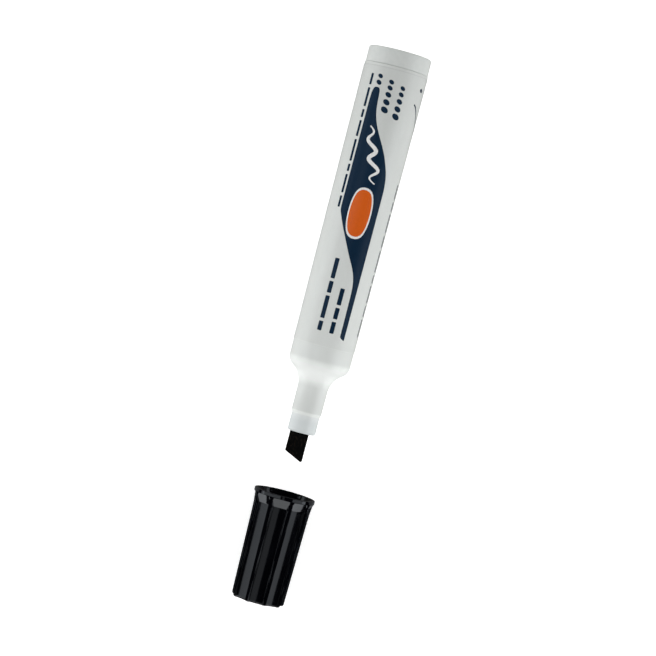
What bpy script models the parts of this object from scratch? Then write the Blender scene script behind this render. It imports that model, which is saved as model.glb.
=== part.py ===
"""Whiteboard marker with its cap pulled off, lying on a table.

World frame: metres, +Z up, the table at Z = 0. The marker's axis runs along Y at the barrel's
largest radius above the table, with the rear plug towards +Y and the nib towards -Y.
Parts are modelled along a local +Z that runs from the rear end to the nib, and two empties turn
that line into world -Y. Local +Y is then world up, and local X is world X.
"""

import math

import bmesh
import bpy
from mathutils import Matrix, Vector

mm = 0.001

# Driving dimensions. "AT" values are distances along the axis from the marker's rear face.
BARREL_REAR_R = 8.84 * mm
BARREL_FRONT_R = 8.48 * mm
BARREL_START_AT = 4.60 * mm
BARREL_RIM_BEVEL = 0.25 * mm
SHOULDER_AT = 86.40 * mm
SHOULDER_R = 3.46 * mm
FILLET_R = 6.33 * mm
NECK_R = 4.22 * mm
NECK_END_R = 4.16 * mm
NECK_END_AT = 101.35 * mm
NOSE_R = 3.89 * mm
NOSE_BEAD_R = 3.93 * mm
NOSE_BEAD_AT = 105.25 * mm
NOSE_END_AT = 106.80 * mm
NOSE_ROUND = 0.60 * mm
NECK_STEP = 0.15 * mm
NECK_BORE_R = 3.50 * mm
NECK_BORE_START_AT = 91.40 * mm
NOSE_WALL_AT = 102.60 * mm

FILM_START_AT = 5.35 * mm
FILM_END_AT = 82.30 * mm
FILM_GAP = 0.02 * mm
FILM_THICK = 0.05 * mm

PLUG_HEAD_R = 8.72 * mm
PLUG_CORNER = 0.55 * mm
PLUG_SEAM_BEVEL = 0.15 * mm
PLUG_SKIRT_R = 7.75 * mm
PLUG_SKIRT_END_AT = 10.60 * mm
PLUG_SKIRT_BEVEL = 0.40 * mm
PLUG_WALL = 1.15 * mm
PLUG_RIB_THICK = 1.00 * mm
PLUG_RIB_ROOT = 0.20 * mm
PLUG_RIB_END_AT = 13.40 * mm

BARREL_BORE_REAR_R = 7.90 * mm
BARREL_BORE_FRONT_R = 7.45 * mm
BARREL_BORE_END_AT = 84.40 * mm
BORE_FUNNEL_R = 6.25 * mm
BORE_FUNNEL_AT = 85.40 * mm
BARREL_RIBS = 6
BARREL_RIB_HEIGHT = 0.45 * mm
BARREL_RIB_WIDTH = 0.80 * mm
BARREL_RIB_ROOT = 0.25 * mm
BARREL_RIB_START_AT = 19.80 * mm
BARREL_RIB_END_AT = 81.90 * mm

RESERVOIR_START_AT = 13.80 * mm
RESERVOIR_END_AT = 83.40 * mm
WRAP_R = 6.95 * mm
WRAP_THICK = 0.16 * mm
WRAP_OVERHANG = 0.40 * mm
CORE_GAP = 0.10 * mm

NIB_WIDTH = 5.22 * mm
NIB_THICK = 3.60 * mm
NIB_EDGE_THICK = 1.90 * mm
NIB_WEDGE_LENGTH = 4.60 * mm
NIB_OFFSET = -0.42 * mm
NIB_TAIL_AT = 74.40 * mm
NIB_TIP_AT = 114.90 * mm
NIB_SLANT = math.radians(25.0)
NIB_CORNER = 0.45 * mm
NIB_ROUND = 0.30 * mm
NIB_GAP = 0.12 * mm
SLOT_ROUND = 0.50 * mm
CUT_BEYOND = 1.00 * mm

CAP_RIM_AT = 124.15 * mm
CAP_LENGTH = 30.30 * mm
CAP_RIM_R = 8.48 * mm
CAP_RIM_THICK = 0.90 * mm
CAP_RIM_BEVEL = 0.12 * mm
CAP_FLARE_R = 8.36 * mm
CAP_FLARE_AT = 1.05 * mm
CAP_RIDGE_TOP_R = 7.97 * mm
CAP_RIDGE_TOP_AT = 3.60 * mm
CAP_RIDGE_END_R = 7.45 * mm
CAP_END_ROUND = 0.60 * mm
CAP_MOUTH_R = 7.72 * mm
CAP_THROAT_R = 7.62 * mm
CAP_THROAT_AT = 0.90 * mm
CAP_BORE_TOP_R = 6.20 * mm
CAP_BORE_TOP_AT = 3.40 * mm
CAP_BORE_END_R = 5.70 * mm
CAP_END_WALL = 1.30 * mm
FLUTES = 9
FLUTE_TURN = math.radians(2.6)
FLUTE_FLOOR_R = 7.14 * mm
FLUTE_FLOOR_WIDTH = 3.74 * mm
FLUTE_WALL_ANGLE = math.radians(48)
FLUTE_FLOOR_ROUND = 0.45 * mm
FLUTE_RUNOUT_END_AT = 4.00 * mm
FLUTE_RUNOUT_SLOPE = 0.26
FLUTE_CUT_HEIGHT = 4.00 * mm
FLUTE_CUT_BEYOND = 2.00 * mm
CAP_RIBS = 6
CAP_RIB_WIDTH = 0.80 * mm
CAP_RIB_OUTER_R = 6.18 * mm
CAP_RIB_START_AT = 14.20 * mm
CAP_RIB_END_AT = 27.40 * mm

LINER_MOUTH_AT = 13.60 * mm
LINER_R = 5.00 * mm
LINER_BORE_R = 4.08 * mm
LINER_MOUTH_R = 4.40 * mm
LINER_MOUTH_BEVEL = 0.50 * mm
LINER_BASE = 1.10 * mm
LINER_FLANGE_R = 5.55 * mm
LINER_FLANGE_THICK = 0.70 * mm
LINER_FLANGE_SLOPE = 0.20 * mm
FIT_GAP = 0.10 * mm

ROUND_STEPS = 32
CAP_STEPS = 36
ARC_STEPS = 4

AXIS_HEIGHT = BARREL_REAR_R + FILM_GAP + FILM_THICK
WHOLE_LENGTH = CAP_RIM_AT + CAP_LENGTH
REAR_FACE_Y = WHOLE_LENGTH / 2


# ---------------------------------------------------------------- scene and helpers

def clear_scene():
    for obj in list(bpy.data.objects):
        bpy.data.objects.remove(obj)


def new_collection(name):
    collection = bpy.data.collections.new(name)
    bpy.context.scene.collection.children.link(collection)
    return collection


def axis_empty(name, distance, collection):
    """An empty on the marker's axis, that far from the rear face, with its +Z towards the nib."""
    empty = bpy.data.objects.new(name, None)
    empty.empty_display_size = 5 * mm
    empty.location = (0, REAR_FACE_Y - distance, AXIS_HEIGHT)
    empty.rotation_euler = (math.radians(90), 0, 0)
    collection.objects.link(empty)
    return empty


def add_object(name, mesh, collection, parent, material=None):
    obj = bpy.data.objects.new(name, mesh)
    obj.parent = parent
    collection.objects.link(obj)
    if material:
        mesh.materials.append(material)
    return obj


def principled(name, colour, roughness, metallic=0.0):
    material = bpy.data.materials.new(name)
    material.use_nodes = True
    shader = material.node_tree.nodes["Principled BSDF"]
    shader.inputs["Base Color"].default_value = (*colour, 1.0)
    shader.inputs["Roughness"].default_value = roughness
    shader.inputs["Metallic"].default_value = metallic
    return material


def arc(centre_r, centre_z, radius, start, end, steps=ARC_STEPS):
    """Points (r, z) of an arc, with its angles in degrees from the +r direction towards +z."""
    points = []
    for i in range(steps + 1):
        angle = math.radians(start + (end - start) * i / steps)
        points.append((centre_r + radius * math.cos(angle), centre_z + radius * math.sin(angle)))
    return points


def turned(name, outline, collection, parent, material=None, steps=ROUND_STEPS):
    """A solid turned about local Z. The outline is a list of (r, z): a ring's outline closes on
    itself, and one that starts and ends on the axis stays open."""
    outline = list(outline)
    on_axis = outline[0][0] == 0 and outline[-1][0] == 0
    pairs = list(zip(outline, outline[1:] + outline[:1]))
    twice_area = sum(r0 * z1 - r1 * z0 for (r0, z0), (r1, z1) in pairs)
    if twice_area > 0:  # the outer side has to run from high z to low z
        outline.reverse()
    count = len(outline)
    edges = [(i, i + 1) for i in range(count - 1)]
    if not on_axis:
        edges.append((count - 1, 0))
    mesh = bpy.data.meshes.new(name)
    mesh.from_pydata([(r, 0, z) for r, z in outline], edges, [])
    obj = add_object(name, mesh, collection, parent, material)
    screw = obj.modifiers.new("turn", "SCREW")
    screw.axis = "Z"
    screw.angle = math.radians(360)
    screw.steps = steps
    screw.render_steps = steps
    screw.use_merge_vertices = True
    screw.merge_threshold = 0.002 * mm
    screw.use_smooth_shade = False
    return obj


def box_mesh(name, size, centre):
    """A box with its edges along the axes."""
    shape = bmesh.new()
    bmesh.ops.create_cube(shape, size=1)
    bmesh.ops.scale(shape, vec=size, verts=shape.verts)
    bmesh.ops.translate(shape, vec=centre, verts=shape.verts)
    mesh = bpy.data.meshes.new(name)
    shape.to_mesh(mesh)
    shape.free()
    return mesh


def round_long_edges(shape, radius, segments):
    """Bevels the edges of a bar that run along Z."""
    edges = []
    for edge in shape.edges:
        low, high = edge.verts
        if abs(low.co.x - high.co.x) < 1e-7 and abs(low.co.y - high.co.y) < 1e-7:
            edges.append(edge)
    bmesh.ops.bevel(
        shape, geom=edges, offset=radius, segments=segments, profile=0.5, affect="EDGES")


def bar_mesh(name, width, thick, start, end, radius):
    """A bar along Z with rounded long edges, as the nib's rod has."""
    shape = bmesh.new()
    bmesh.ops.create_cube(shape, size=1)
    bmesh.ops.scale(shape, vec=(width, thick, end - start), verts=shape.verts)
    bmesh.ops.translate(shape, vec=(NIB_OFFSET, 0, (start + end) / 2), verts=shape.verts)
    round_long_edges(shape, radius, 3)
    mesh = bpy.data.meshes.new(name)
    shape.to_mesh(mesh)
    shape.free()
    return mesh


def hide_helper(obj):
    obj.hide_render = True
    obj.display_type = "WIRE"


def boolean(obj, other, operation):
    modifier = obj.modifiers.new(f"{operation.lower()} {other.name}", "BOOLEAN")
    modifier.object = other
    modifier.operation = operation
    modifier.solver = "EXACT"


# ---------------------------------------------------------------- marker

def barrel_outer_r(distance):
    """The barrel's draft: it narrows evenly from its rear rim to the shoulder."""
    share = (distance - BARREL_START_AT) / (SHOULDER_AT - BARREL_START_AT)
    return BARREL_REAR_R + (BARREL_FRONT_R - BARREL_REAR_R) * share


def shoulder_outline():
    """A convex arc from the barrel's side, tangent to the concave fillet that ends on the neck."""
    centre_r = BARREL_FRONT_R - SHOULDER_R
    fillet_r = NECK_R + FILLET_R
    rise = fillet_r - centre_r
    run = math.sqrt((SHOULDER_R + FILLET_R) ** 2 - rise ** 2)
    turn = math.degrees(math.atan2(run, rise))
    convex = arc(centre_r, SHOULDER_AT, SHOULDER_R, 0, turn, 6)
    concave = arc(fillet_r, SHOULDER_AT + run, FILLET_R, 180 + turn, 180, 6)
    return convex + concave[1:]


def barrel_outline():
    """The barrel's section. Its nose is solid here, so the outline starts and ends on the axis."""
    outside = [
        (BARREL_BORE_REAR_R, BARREL_START_AT),
        (BARREL_REAR_R - BARREL_RIM_BEVEL, BARREL_START_AT),
        (BARREL_REAR_R, BARREL_START_AT + BARREL_RIM_BEVEL),
    ] + shoulder_outline() + [
        (NECK_END_R, NECK_END_AT),
        (NOSE_R, NECK_END_AT + NECK_STEP),
        (NOSE_BEAD_R, NOSE_BEAD_AT),
    ] + arc(NOSE_BEAD_R - NOSE_ROUND, NOSE_END_AT - NOSE_ROUND, NOSE_ROUND, 0, 90, 3)
    inside = [
        (NECK_BORE_R, NOSE_WALL_AT),
        (NECK_BORE_R, NECK_BORE_START_AT),
        (BORE_FUNNEL_R, BORE_FUNNEL_AT),
        (BARREL_BORE_FRONT_R, BARREL_BORE_END_AT),
    ]
    return outside + [(0, NOSE_END_AT), (0, NOSE_WALL_AT)] + inside


def make_barrel(collection, cutters, parent, material):
    """The moulded body: a drafted tube, its shoulder, the neck and the nose that grips the nib."""
    barrel = turned("barrel", barrel_outline(), collection, parent, material)
    rib_middle_at = (BARREL_RIB_START_AT + BARREL_RIB_END_AT) / 2
    rib_middle_r = BARREL_BORE_FRONT_R - BARREL_RIB_HEIGHT / 2 + BARREL_RIB_ROOT
    rib_depth = BARREL_RIB_HEIGHT + 2 * BARREL_RIB_ROOT
    for i in range(BARREL_RIBS):
        angle = 2 * math.pi * i / BARREL_RIBS
        size = (rib_depth, BARREL_RIB_WIDTH, BARREL_RIB_END_AT - BARREL_RIB_START_AT)
        mesh = box_mesh(f"barrel_rib_{i}", size, (rib_middle_r, 0, rib_middle_at))
        mesh.transform(Matrix.Rotation(angle, 4, "Z"))
        rib = add_object(f"barrel_rib_{i}", mesh, cutters, parent)
        hide_helper(rib)
        boolean(barrel, rib, "UNION")
    slot_mesh = bar_mesh(
        "nib_slot", NIB_WIDTH + 2 * NIB_GAP, NIB_THICK + 2 * NIB_GAP,
        NOSE_WALL_AT - CUT_BEYOND, NOSE_END_AT + CUT_BEYOND, SLOT_ROUND)
    slot = add_object("nib_slot", slot_mesh, cutters, parent)
    hide_helper(slot)
    boolean(barrel, slot, "DIFFERENCE")
    return barrel


def make_print_film(collection, parent, material):
    """The printed transfer film, a thin sleeve bonded round the barrel."""
    inner = FILM_GAP
    outer = FILM_GAP + FILM_THICK
    outline = [
        (barrel_outer_r(FILM_START_AT) + inner, FILM_START_AT),
        (barrel_outer_r(FILM_START_AT) + outer, FILM_START_AT),
        (barrel_outer_r(FILM_END_AT) + outer, FILM_END_AT),
        (barrel_outer_r(FILM_END_AT) + inner, FILM_END_AT),
    ]
    return turned("print_film", outline, collection, parent, material)


def make_rear_plug(collection, cutters, parent, material):
    """The plug that closes the barrel: a head, a skirt in the bore and a cross of ribs."""
    seam = BARREL_START_AT - FIT_GAP
    head_bore_r = PLUG_SKIRT_R - PLUG_WALL
    head_corner = arc(PLUG_HEAD_R - PLUG_CORNER, PLUG_CORNER, PLUG_CORNER, 0, -90)
    outline = [(0, 0)] + [
        (r, z) for r, z in reversed(head_corner)
    ] + [
        (PLUG_HEAD_R, seam - PLUG_SEAM_BEVEL),
        (PLUG_HEAD_R - PLUG_SEAM_BEVEL, seam),
        (PLUG_SKIRT_R, seam),
        (PLUG_SKIRT_R, PLUG_SKIRT_END_AT - PLUG_SKIRT_BEVEL),
        (PLUG_SKIRT_R - PLUG_SKIRT_BEVEL, PLUG_SKIRT_END_AT),
        (head_bore_r, PLUG_SKIRT_END_AT),
        (head_bore_r, PLUG_WALL),
        (0, PLUG_WALL),
    ]
    plug = turned("rear_plug", outline, collection, parent, material)
    rib_start = PLUG_WALL / 2
    rib_length = PLUG_RIB_END_AT - rib_start
    span = 2 * (head_bore_r + PLUG_RIB_ROOT)
    plates = ((span, PLUG_RIB_THICK, rib_length), (PLUG_RIB_THICK, span, rib_length))
    for i, size in enumerate(plates):
        mesh = box_mesh(f"plug_rib_{i}", size, (0, 0, rib_start + rib_length / 2))
        rib = add_object(f"plug_rib_{i}", mesh, cutters, parent)
        hide_helper(rib)
        boolean(plug, rib, "UNION")
    return plug


def make_reservoir(collection, cutters, parent, wrap_material, core_material):
    """The ink reservoir: a fibre rod in a plastic film, with a pocket for the nib's tail."""
    wrap_outline = [
        (WRAP_R, RESERVOIR_START_AT),
        (WRAP_R, RESERVOIR_END_AT),
        (WRAP_R - WRAP_THICK, RESERVOIR_END_AT),
        (WRAP_R - WRAP_THICK, RESERVOIR_START_AT),
    ]
    turned("reservoir_wrap", wrap_outline, collection, parent, wrap_material)
    core_r = WRAP_R - WRAP_THICK - CORE_GAP
    core_start = RESERVOIR_START_AT + WRAP_OVERHANG
    core_end = RESERVOIR_END_AT - WRAP_OVERHANG
    core_outline = [(0, core_start), (core_r, core_start), (core_r, core_end), (0, core_end)]
    core = turned("reservoir_core", core_outline, collection, parent, core_material)
    pocket_mesh = bar_mesh(
        "tail_pocket", NIB_WIDTH + 2 * NIB_GAP, NIB_THICK + 2 * NIB_GAP,
        NIB_TAIL_AT - NIB_GAP, core_end + CUT_BEYOND, SLOT_ROUND)
    pocket = add_object("tail_pocket", pocket_mesh, cutters, parent)
    hide_helper(pocket)
    boolean(core, pocket, "DIFFERENCE")


def cut_with_plane(shape, point, normal):
    """Removes what lies on the normal's side of the plane, and closes the cut."""
    cut = bmesh.ops.bisect_plane(
        shape, geom=shape.verts[:] + shape.edges[:] + shape.faces[:],
        plane_co=point, plane_no=normal, clear_outer=True)
    edges = [item for item in cut["geom_cut"] if isinstance(item, bmesh.types.BMEdge)]
    bmesh.ops.contextual_create(shape, geom=edges)


def make_nib(collection, parent, material):
    """The chisel nib: a flat rod whose end is slanted across its width and wedged in thickness."""
    shape = bmesh.new()
    bmesh.ops.create_cube(shape, size=1)
    length = NIB_TIP_AT - NIB_TAIL_AT
    bmesh.ops.scale(shape, vec=(NIB_WIDTH, NIB_THICK, length), verts=shape.verts)
    middle = (NIB_OFFSET, 0, (NIB_TIP_AT + NIB_TAIL_AT) / 2)
    bmesh.ops.translate(shape, vec=middle, verts=shape.verts)
    round_long_edges(shape, NIB_ROUND, 3)
    tip = Vector((NIB_OFFSET + NIB_WIDTH / 2, 0, NIB_TIP_AT))
    cut_with_plane(shape, tip, Vector((-math.sin(NIB_SLANT), 0, math.cos(NIB_SLANT))))
    slanted = math.degrees(NIB_SLANT) + 90
    long_corner_x = tip.x - NIB_CORNER
    short_corner_x = tip.x - NIB_WIDTH + NIB_CORNER
    for corner_x, start, end in ((long_corner_x, 0, slanted), (short_corner_x, slanted, 180)):
        line_z = tip.z - (tip.x - corner_x) * math.tan(NIB_SLANT)
        centre = Vector((corner_x, 0, line_z - NIB_CORNER / math.cos(NIB_SLANT)))
        for step in range(1, ARC_STEPS + 1):
            angle = math.radians(start + (end - start) * step / (ARC_STEPS + 1))
            normal = Vector((math.cos(angle), 0, math.sin(angle)))
            cut_with_plane(shape, centre + NIB_CORNER * normal, normal)
    narrowing = (NIB_THICK - NIB_EDGE_THICK) / 2
    for side in (-1, 1):
        edge = tip + Vector((0, side * NIB_EDGE_THICK / 2, 0))
        slope = Vector((0, side * NIB_WEDGE_LENGTH, narrowing)).normalized()
        cut_with_plane(shape, edge, slope)
    mesh = bpy.data.meshes.new("nib")
    shape.to_mesh(mesh)
    shape.free()
    return add_object("nib", mesh, collection, parent, material)


# ---------------------------------------------------------------- cap

def cap_outline():
    rim = [
        (CAP_MOUTH_R, 0),
        (CAP_RIM_R - CAP_RIM_BEVEL, 0),
        (CAP_RIM_R, CAP_RIM_BEVEL),
        (CAP_RIM_R, CAP_RIM_THICK),
        (CAP_FLARE_R, CAP_FLARE_AT),
        (CAP_RIDGE_TOP_R, CAP_RIDGE_TOP_AT),
    ]
    corner = arc(
        CAP_RIDGE_END_R - CAP_END_ROUND, CAP_LENGTH - CAP_END_ROUND, CAP_END_ROUND, 0, 90, 3)
    floor_at = CAP_LENGTH - CAP_END_WALL
    inside = [
        (0, floor_at),
        (CAP_BORE_END_R, floor_at),
        (CAP_BORE_TOP_R, CAP_BORE_TOP_AT),
        (CAP_THROAT_R, CAP_THROAT_AT),
    ]
    return rim + corner + [(0, CAP_LENGTH)] + inside


def flute_cutter(name, index, cutters, parent):
    """A bar along the cap's side with splayed walls, and its rim end cut to the run-out's slope."""
    length = CAP_LENGTH + FLUTE_CUT_BEYOND
    height = FLUTE_CUT_HEIGHT
    splay = height / math.tan(FLUTE_WALL_ANGLE)
    shape = bmesh.new()
    bmesh.ops.create_cube(shape, size=1)
    bmesh.ops.translate(shape, vec=(0, 0.5, 0.5), verts=shape.verts)
    bmesh.ops.scale(shape, vec=(FLUTE_FLOOR_WIDTH, height, length), verts=shape.verts)
    for vert in shape.verts:
        if vert.co.y > height / 2:
            vert.co.x += math.copysign(splay, vert.co.x)
            if vert.co.z < length / 2:
                vert.co.z = -height / FLUTE_RUNOUT_SLOPE
    floor_edges = []
    for edge in shape.edges:
        low, high = edge.verts
        if max(low.co.y, high.co.y) < height / 2 and abs(low.co.z - high.co.z) > length / 2:
            floor_edges.append(edge)
    bmesh.ops.bevel(
        shape, geom=floor_edges, offset=FLUTE_FLOOR_ROUND, segments=2, profile=0.5,
        affect="EDGES")
    rim_side = Vector((0, 0, CAP_RIM_THICK - FLUTE_RUNOUT_END_AT))
    cut_with_plane(shape, rim_side, Vector((0, 0, -1)))
    mesh = bpy.data.meshes.new(name)
    shape.to_mesh(mesh)
    shape.free()
    drop = CAP_RIDGE_TOP_R - CAP_RIDGE_END_R
    taper = math.atan2(drop, CAP_LENGTH - CAP_RIDGE_TOP_AT)
    place = Matrix.Translation((0, FLUTE_FLOOR_R, FLUTE_RUNOUT_END_AT))
    mesh.transform(place @ Matrix.Rotation(taper, 4, "X"))
    mesh.transform(Matrix.Rotation(FLUTE_TURN + 2 * math.pi * index / FLUTES, 4, "Z"))
    cutter = add_object(name, mesh, cutters, parent)
    hide_helper(cutter)
    return cutter


def make_cap_shell(collection, cutters, parent, material):
    """The fluted cap: a flared rim, nine flutes with sloped run-outs, and ribs round the liner."""
    shell = turned("cap_shell", cap_outline(), collection, parent, material, CAP_STEPS)
    for i in range(FLUTES):
        boolean(shell, flute_cutter(f"flute_{i}", i, cutters, parent), "DIFFERENCE")
    inner_r = LINER_R + FIT_GAP
    middle_r = (CAP_RIB_OUTER_R + inner_r) / 2
    middle_at = (CAP_RIB_START_AT + CAP_RIB_END_AT) / 2
    size = (CAP_RIB_OUTER_R - inner_r, CAP_RIB_WIDTH, CAP_RIB_END_AT - CAP_RIB_START_AT)
    for i in range(CAP_RIBS):
        mesh = box_mesh(f"cap_rib_{i}", size, (middle_r, 0, middle_at))
        mesh.transform(Matrix.Rotation(2 * math.pi * (i + 0.5) / CAP_RIBS, 4, "Z"))
        rib = add_object(f"cap_rib_{i}", mesh, cutters, parent)
        hide_helper(rib)
        boolean(shell, rib, "UNION")
    return shell


def make_cap_liner(collection, parent, material):
    """The inner cup that seals on the marker's nose, with a flange against the shell's end wall."""
    base_at = CAP_LENGTH - CAP_END_WALL - FIT_GAP
    floor_at = base_at - LINER_BASE
    flange_at = base_at - LINER_FLANGE_THICK
    outline = [
        (0, floor_at),
        (LINER_BORE_R, floor_at),
        (LINER_BORE_R, LINER_MOUTH_AT + LINER_MOUTH_BEVEL),
        (LINER_MOUTH_R, LINER_MOUTH_AT),
        (LINER_R, LINER_MOUTH_AT),
        (LINER_R, flange_at - LINER_FLANGE_SLOPE),
        (LINER_FLANGE_R, flange_at),
        (LINER_FLANGE_R, base_at),
        (0, base_at),
    ]
    return turned("cap_liner", outline, collection, parent, material)


# ---------------------------------------------------------------- whole

def main():
    clear_scene()
    bpy.context.scene.unit_settings.scale_length = 1.0
    parts = new_collection("whiteboard_marker")
    cutters = new_collection("cutters")
    marker_axis = axis_empty("marker_axis", 0, parts)
    cap_axis = axis_empty("cap_axis", CAP_RIM_AT, parts)

    white = principled("white_polypropylene", (0.80, 0.82, 0.80), 0.38)
    film = principled("printed_film", (0.84, 0.86, 0.84), 0.32)
    plug_white = principled("plug_polypropylene", (0.78, 0.80, 0.78), 0.40)
    fibre = principled("inked_fibre", (0.02, 0.02, 0.025), 0.95)
    wrap = principled("clear_wrap", (0.70, 0.72, 0.74), 0.25)
    felt = principled("nib_felt", (0.012, 0.011, 0.012), 0.90)
    black = principled("black_polystyrene", (0.006, 0.007, 0.010), 0.12)
    natural = principled("natural_polyethylene", (0.62, 0.64, 0.62), 0.45)

    make_barrel(parts, cutters, marker_axis, white)
    make_print_film(parts, marker_axis, film)
    make_rear_plug(parts, cutters, marker_axis, plug_white)
    make_reservoir(parts, cutters, marker_axis, wrap, fibre)
    make_nib(parts, marker_axis, felt)
    make_cap_shell(parts, cutters, cap_axis, black)
    make_cap_liner(parts, cap_axis, natural)
    bpy.context.view_layer.update()


main()
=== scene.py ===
import math

import bmesh
import bpy
from mathutils import Matrix, Vector


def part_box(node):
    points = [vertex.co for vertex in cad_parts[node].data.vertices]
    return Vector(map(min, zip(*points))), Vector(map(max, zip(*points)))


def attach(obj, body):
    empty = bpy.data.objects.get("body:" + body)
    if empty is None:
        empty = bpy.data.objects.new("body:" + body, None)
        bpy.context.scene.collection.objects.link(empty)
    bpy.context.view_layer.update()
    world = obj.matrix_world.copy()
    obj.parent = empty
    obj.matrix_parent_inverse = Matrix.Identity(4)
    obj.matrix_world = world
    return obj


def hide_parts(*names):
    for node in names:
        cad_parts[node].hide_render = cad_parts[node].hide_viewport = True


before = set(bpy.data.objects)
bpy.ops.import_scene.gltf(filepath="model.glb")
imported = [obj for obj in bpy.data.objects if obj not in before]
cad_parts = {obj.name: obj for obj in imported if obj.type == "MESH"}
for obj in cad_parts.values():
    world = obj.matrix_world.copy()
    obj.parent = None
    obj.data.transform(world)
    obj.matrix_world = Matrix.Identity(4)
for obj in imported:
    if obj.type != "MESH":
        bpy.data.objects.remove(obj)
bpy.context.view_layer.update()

mm = 0.001

# The marker's axis runs along Y. "at" is the distance in mm from the rear face towards the nib,
# and a turn is an angle in degrees round the axis, from straight up towards +X.
plugLow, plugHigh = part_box("rear_plug")
rearY = plugHigh.y
axisX = (plugLow.x + plugHigh.x) / 2
axisZ = (plugLow.z + plugHigh.z) / 2
rimAt = (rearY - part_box("cap_shell")[1].y) / mm  # where the cap starts


def onMarker(radius, at, turn=0.0):
    angle = math.radians(turn)
    side = radius * math.sin(angle)
    up = radius * math.cos(angle)
    return Vector((axisX + side * mm, rearY - at * mm, axisZ + up * mm))


def fromLocal(point):
    # local x is sideways, y is up and z runs from the rear face to the nib, all in mm
    return Vector((axisX + point.x * mm, rearY - point.z * mm, axisZ + point.y * mm))


def arcPoints(centreR, centreAt, radius, start, end, steps):
    points = []
    for i in range(steps + 1):
        angle = math.radians(start + (end - start) * i / steps)
        points.append((centreR + radius * math.cos(angle), centreAt + radius * math.sin(angle)))
    return points


def lerpTable(table, x):
    if x <= table[0][0]:
        return table[0][1]
    for (x0, y0), (x1, y1) in zip(table, table[1:]):
        if x <= x1:
            return y0 + (y1 - y0) * (x - x0) / (x1 - x0)
    return table[-1][1]


def softMin(a, b, width):
    mix = max(width - abs(a - b), 0) / width
    return min(a, b) - mix * mix * width / 4


def softMax(a, b, width):
    return -softMin(-a, -b, width)


def bridge(shape, first, second):
    count = max(len(first), len(second))
    for k in range(count):
        n = (k + 1) % count
        if len(first) == 1 and len(second) == 1:
            return
        if len(first) == 1:
            shape.faces.new((first[0], second[n], second[k]))
        elif len(second) == 1:
            shape.faces.new((first[k], first[n], second[0]))
        else:
            shape.faces.new((first[k], first[n], second[n], second[k]))


def ringShape(rings, closed):
    # rings of points, one point where a ring shrinks onto the axis
    shape = bmesh.new()
    loops = []
    for ring in rings:
        loops.append([shape.verts.new(point) for point in ring])
    for first, second in zip(loops, loops[1:]):
        bridge(shape, first, second)
    if closed:
        bridge(shape, loops[-1], loops[0])
    return shape


def turnedShape(outline, steps):
    rings = []
    for radius, at in outline:
        if radius < 1e-6:
            rings.append([onMarker(0, at)])
        else:
            rings.append([onMarker(radius, at, 360 * k / steps) for k in range(steps)])
    return ringShape(rings, outline[0][0] > 1e-6)


def addPiece(name, shape, material, body, replaced=None, sharp=32, recalculate=True):
    if recalculate:
        bmesh.ops.recalc_face_normals(shape, faces=shape.faces[:])
    mesh = bpy.data.meshes.new(name)
    shape.to_mesh(mesh)
    shape.free()
    mesh.shade_smooth()
    mesh.set_sharp_from_angle(angle=math.radians(sharp))
    mesh.materials.append(material)
    piece = bpy.data.objects.new(name, mesh)
    bpy.context.scene.collection.objects.link(piece)
    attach(piece, body)
    if replaced:
        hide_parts(replaced)
    return piece


# materials

even = (1, 1, 1)  # noise that isn't stretched


def newMaterial(name):
    material = bpy.data.materials.new(name)
    material.use_nodes = True
    return material, material.node_tree, material.node_tree.nodes["Principled BSDF"]


def addNode(tree, kind, **values):
    node = tree.nodes.new(kind)
    for key, value in values.items():
        socket = key.replace("_", " ")
        if socket in node.inputs:
            node.inputs[socket].default_value = value
        else:
            setattr(node, key, value)
    return node


def objectNoise(tree, stretch, scale, detail, roughness=0.55):
    # noise in the piece's own coordinates, per mm; a small stretch value draws it out along that axis
    coordinates = addNode(tree, "ShaderNodeTexCoord")
    mapping = addNode(tree, "ShaderNodeMapping")
    mapping.inputs["Scale"].default_value = [s / mm for s in stretch]
    noise = addNode(tree, "ShaderNodeTexNoise", Scale=scale, Detail=detail, Roughness=roughness)
    tree.links.new(coordinates.outputs["Object"], mapping.inputs["Vector"])
    tree.links.new(mapping.outputs["Vector"], noise.inputs["Vector"])
    return noise.outputs["Fac"]


def mapped(tree, value, low, high, fromLow=0.3, fromHigh=0.7):
    node = addNode(tree, "ShaderNodeMapRange")
    node.inputs["From Min"].default_value = fromLow
    node.inputs["From Max"].default_value = fromHigh
    node.inputs["To Min"].default_value = low
    node.inputs["To Max"].default_value = high
    tree.links.new(value, node.inputs["Value"])
    return node.outputs["Result"]


def bumped(tree, shader, height, strength, distance):
    bump = addNode(tree, "ShaderNodeBump", Strength=strength, Distance=distance * mm)
    tree.links.new(height, bump.inputs["Height"])
    tree.links.new(bump.outputs["Normal"], shader.inputs["Normal"])


def alongAxis(tree, stops):
    # a colour ramp along the marker's axis; stops are (at, colour)
    coordinates = addNode(tree, "ShaderNodeTexCoord")
    split = addNode(tree, "ShaderNodeSeparateXYZ")
    tree.links.new(coordinates.outputs["Object"], split.inputs["Vector"])
    firstAt = stops[0][0]
    lastAt = stops[-1][0]
    share = mapped(tree, split.outputs["Y"], 0, 1, rearY - firstAt * mm, rearY - lastAt * mm)
    ramp = addNode(tree, "ShaderNodeValToRGB")
    elements = ramp.color_ramp.elements
    while len(elements) < len(stops):
        elements.new(0.5)
    for element, (at, colour) in zip(elements, stops):
        element.position = (at - firstAt) / (lastAt - firstAt)
    for element, (at, colour) in zip(elements, stops):
        element.color = (*colour, 1)
    tree.links.new(share, ramp.inputs["Fac"])
    return ramp.outputs["Color"]


def scaledColour(tree, colour, factor):
    # multiplies a colour by a value
    multiply = addNode(tree, "ShaderNodeVectorMath", operation="SCALE")
    tree.links.new(colour, multiply.inputs[0])
    tree.links.new(factor, multiply.inputs["Scale"])
    return multiply.outputs["Vector"]


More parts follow.
